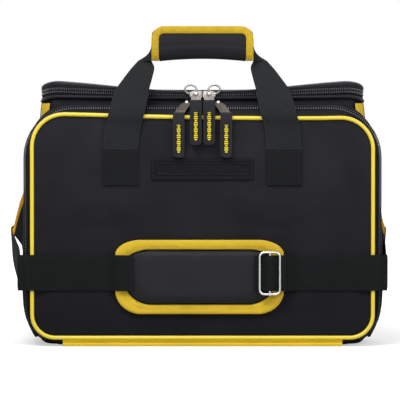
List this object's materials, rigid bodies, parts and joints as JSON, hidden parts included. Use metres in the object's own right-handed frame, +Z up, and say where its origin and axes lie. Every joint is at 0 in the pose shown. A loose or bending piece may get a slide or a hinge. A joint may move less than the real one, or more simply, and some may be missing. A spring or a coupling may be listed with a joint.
{
  "type": "zippered tool bag",
  "caption": "Zippered tool bag with a zipped lid, a fold-down front compartment, webbing handles, side pockets and a padded shoulder strap.",
  "frame": {"origin": "on the ground, under the middle of the main compartment's width", "axes": "+Z up, the front compartment faces -Y, +X to the right seen from the front"},
  "size_m": [0.4654, 0.2453, 0.384],
  "materials": {
    "black_cloth": "black polyester weave",
    "lining": "smooth black lining",
    "yellow_trim": "yellow binding and piping",
    "webbing": "ribbed black webbing",
    "rubber": "moulded black rubber",
    "steel": "nickel plated steel",
    "zip_tape": "black zip tape and coil",
    "stiff_board": "black stiff board"
  },
  "bodies": {
    "bag_body": {"main_shell": "black_cloth", "lid_zip_band": "zip_tape", "corner_binding_left": "yellow_trim", "corner_binding_right": "yellow_trim", "base_board": "stiff_board", "tool_divider": "lining", "front_tray": "black_cloth", "front_floor": "black_cloth", "front_hinge_strip": "yellow_trim", "front_zip_rear": "zip_tape", "rear_strap_end_left": "webbing", "rear_strap_end_right": "webbing", "side_pocket_left": "black_cloth", "side_pocket_right": "black_cloth", "side_pocket_binding_left": "yellow_trim", "side_pocket_binding_right": "yellow_trim", "ring_tab_left": "webbing", "ring_tab_right": "webbing", "strap_side_left": "webbing", "strap_side_right": "webbing"},
    "lid_body": {"lid": "black_cloth"},
    "panel_body": {"front_panel": "black_cloth", "piping": "yellow_trim", "front_zip_front": "zip_tape", "label_patch": "rubber", "handle_strap_end_left": "webbing", "handle_strap_end_right": "webbing", "strap_pad": "black_cloth", "strap_pad_binding": "yellow_trim", "strap_run_left": "webbing", "strap_run_right": "webbing"},
    "buckle_body": {"slide_buckle": "steel", "buckle_webbing": "webbing"},
    "front_handle": {"handle_strap_left": "webbing", "handle_strap_right": "webbing", "grip_sleeve": "black_cloth"},
    "grip_wrap": {"grip_flap": "black_cloth", "grip_flap_binding": "yellow_trim"},
    "rear_handle": {"rear_strap_left": "webbing", "rear_strap_right": "webbing", "rear_grip": "black_cloth"},
    "lid_slider_l": {"lid_left_slider": "steel"},
    "lid_link_l": {"lid_left_link": "steel"},
    "lid_pull_l": {"lid_left_pull": "rubber"},
    "lid_slider_r": {"lid_right_slider": "steel"},
    "lid_link_r": {"lid_right_link": "steel"},
    "lid_pull_r": {"lid_right_pull": "rubber"},
    "pocket_slider_l": {"pocket_left_slider": "steel"},
    "pocket_link_l": {"pocket_left_link": "steel"},
    "pocket_pull_l": {"pocket_left_pull": "rubber"},
    "pocket_slider_r": {"pocket_right_slider": "steel"},
    "pocket_link_r": {"pocket_right_link": "steel"},
    "pocket_pull_r": {"pocket_right_pull": "rubber"},
    "ring_l": {"d_ring_left": "steel"},
    "ring_r": {"d_ring_right": "steel"},
    "hook_l": {"swivel_hook_left": "steel"},
    "hook_r": {"swivel_hook_right": "steel"}
  },
  "joints": [
    {"name": "lid_hinge", "type": "hinge", "parent": "bag_body", "child": "lid_body", "pos_m": [0, 0.1024, 0.3093], "axis": [-1, 0, 0], "range_deg": [0, 100]},
    {"name": "panel_hinge", "type": "hinge", "parent": "bag_body", "child": "panel_body", "pos_m": [0, -0.1, 0.003], "axis": [1, 0, 0], "range_deg": [0, 72], "deforming": ["strap_side_left", "strap_side_right", "lid_left_pull", "lid_right_pull"]},
    {"name": "buckle_slide", "type": "slide", "parent": "panel_body", "child": "buckle_body", "axis": [1, 0, 0], "range_m": [0, 0.05]},
    {"name": "front_handle_fold", "type": "hinge", "parent": "panel_body", "child": "front_handle", "pos_m": [0, -0.10225, 0.236], "axis": [1, 0, 0], "range_deg": [0, 150]},
    {"name": "grip_wrap_hinge", "type": "hinge", "parent": "front_handle", "child": "grip_wrap", "pos_m": [0, -0.10415, 0.3839], "axis": [-1, 0, 0], "range_deg": [0, 110]},
    {"name": "rear_handle_fold", "type": "hinge", "parent": "bag_body", "child": "rear_handle", "pos_m": [0, 0.1033, 0.2362], "axis": [1, 0, 0], "range_deg": [0, 150]},
    {"name": "lid_slider_left_run", "type": "slide", "parent": "bag_body", "child": "lid_slider_l", "axis": [-1, 0, 0], "range_m": [0, 0.045]},
    {"name": "lid_link_left_swing", "type": "hinge", "parent": "lid_slider_l", "child": "lid_link_l", "pos_m": [-0.008, -0.08215, 0.30261], "axis": [-1, 0, 0], "range_deg": [0, 90]},
    {"name": "lid_pull_left_swing", "type": "hinge", "parent": "lid_link_l", "child": "lid_pull_l", "pos_m": [-0.008, -0.1095, 0.294], "axis": [-1, 0, 0], "range_deg": [0, 90]},
    {"name": "lid_slider_right_run", "type": "slide", "parent": "bag_body", "child": "lid_slider_r", "axis": [1, 0, 0], "range_m": [0, 0.045]},
    {"name": "lid_link_right_swing", "type": "hinge", "parent": "lid_slider_r", "child": "lid_link_r", "pos_m": [0.008, -0.08215, 0.30261], "axis": [-1, 0, 0], "range_deg": [0, 90]},
    {"name": "lid_pull_right_swing", "type": "hinge", "parent": "lid_link_r", "child": "lid_pull_r", "pos_m": [0.008, -0.1095, 0.294], "axis": [-1, 0, 0], "range_deg": [0, 90]},
    {"name": "pocket_slider_left_run", "type": "slide", "parent": "panel_body", "child": "pocket_slider_l", "axis": [-1, 0, 0], "range_m": [0, 0.03]},
    {"name": "pocket_link_left_swing", "type": "hinge", "parent": "pocket_slider_l", "child": "pocket_link_l", "pos_m": [-0.019, -0.087, 0.29285], "axis": [-1, 0, 0], "range_deg": [0, 90]},
    {"name": "pocket_pull_left_swing", "type": "hinge", "parent": "pocket_link_l", "child": "pocket_pull_l", "pos_m": [-0.0285, -0.1054, 0.279], "axis": [-1, 0, 0], "range_deg": [0, 90]},
    {"name": "pocket_slider_right_run", "type": "slide", "parent": "panel_body", "child": "pocket_slider_r", "axis": [1, 0, 0], "range_m": [0, 0.03]},
    {"name": "pocket_link_right_swing", "type": "hinge", "parent": "pocket_slider_r", "child": "pocket_link_r", "pos_m": [0.019, -0.087, 0.29285], "axis": [-1, 0, 0], "range_deg": [0, 90]},
    {"name": "pocket_pull_right_swing", "type": "hinge", "parent": "pocket_link_r", "child": "pocket_pull_r", "pos_m": [0.0285, -0.1054, 0.279], "axis": [-1, 0, 0], "range_deg": [0, 90]},
    {"name": "ring_left_swing", "type": "hinge", "parent": "bag_body", "child": "ring_l", "pos_m": [-0.21276, 0.048, 0.234], "axis": [0, 1, 0], "range_deg": [0, 80]},
    {"name": "hook_left_swing", "type": "hinge", "parent": "ring_l", "child": "hook_l", "pos_m": [-0.21276, 0.048, 0.208], "axis": [0, 1, 0], "range_deg": [0, 60]},
    {"name": "ring_right_swing", "type": "hinge", "parent": "bag_body", "child": "ring_r", "pos_m": [0.21276, 0.048, 0.234], "axis": [0, -1, 0], "range_deg": [0, 80]},
    {"name": "hook_right_swing", "type": "hinge", "parent": "ring_r", "child": "hook_r", "pos_m": [0.21276, 0.048, 0.208], "axis": [0, -1, 0], "range_deg": [0, 60]}
  ]
}
